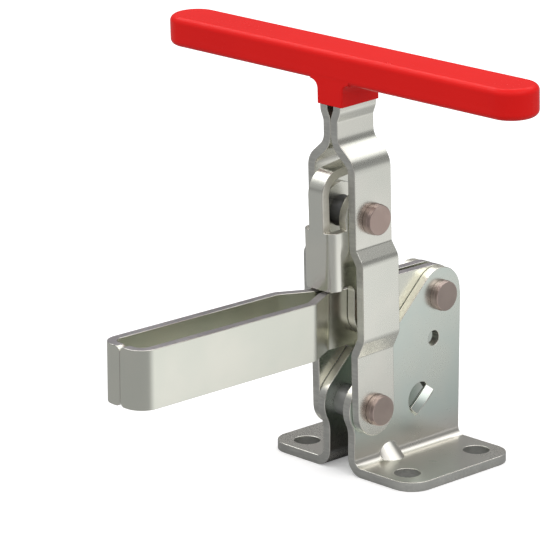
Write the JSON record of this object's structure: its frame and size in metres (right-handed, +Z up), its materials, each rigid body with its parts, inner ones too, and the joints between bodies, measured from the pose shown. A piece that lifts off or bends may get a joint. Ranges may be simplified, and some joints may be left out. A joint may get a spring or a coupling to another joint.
{
  "type": "toggle clamp",
  "caption": "Vertical hold-down toggle clamp: flanged steel base, U-bar arm and folded link rocked over centre by a long moulded T-handle.",
  "frame": {"origin": "centre of the four bolt holes, on the flat underside of the feet", "axes": "+Z up out of the base, the arm points to -Y, the T-grip lies along X, the mid-plane between the base plates is x = 0"},
  "size_m": [0.13, 0.1201, 0.1172],
  "materials": {
    "base_steel": "satin nickel-coloured plating over stamped sheet",
    "handle_steel": "satin nickel-coloured plating over stamped sheet",
    "link_steel": "satin nickel-coloured plating over stamped sheet",
    "arm_steel": "satin nickel-coloured plating over stamped sheet",
    "pin_steel": "turned, dull brown-grey",
    "bush_steel": "turned, hardened",
    "grip_red": "smooth moulded vinyl with a soft sheen"
  },
  "bodies": {
    "base": {"base_plate_right": "base_steel", "base_plate_left": "base_steel", "handle_pivot_pin": "pin_steel", "arm_rivet_right": "pin_steel", "arm_rivet_left": "pin_steel"},
    "handle": {"handle_plate_right": "handle_steel", "handle_plate_left": "handle_steel", "grip": "grip_red", "link_top_pin": "pin_steel"},
    "link": {"link": "link_steel", "link_low_pin": "pin_steel"},
    "arm": {"arm_right": "arm_steel", "arm_left": "arm_steel", "arm_front_bush": "bush_steel", "arm_rear_bush": "bush_steel", "arm_rivet_core": "pin_steel"}
  },
  "joints": [
    {"name": "handle_pivot", "type": "hinge", "parent": "base", "child": "handle", "pos_m": [0, -0.0149, 0.0184], "axis": [-1, 0, 0], "range_deg": [0, 60]},
    {"name": "link_pivot", "type": "hinge", "parent": "handle", "child": "link", "pos_m": [0, -0.0167, 0.0718], "axis": [-1, 0, 0], "range_deg": [0, 98.8]},
    {"name": "arm_pivot", "type": "hinge", "parent": "link", "child": "arm", "pos_m": [0, -0.014, 0.0455], "axis": [-1, 0, 0], "range_deg": [-59, 0]}
  ],
  "couplings": [
    {"joint": "link_pivot", "follows": "handle_pivot", "ratio": 1.6458},
    {"joint": "arm_pivot", "follows": "handle_pivot", "ratio": -0.9828}
  ]
}
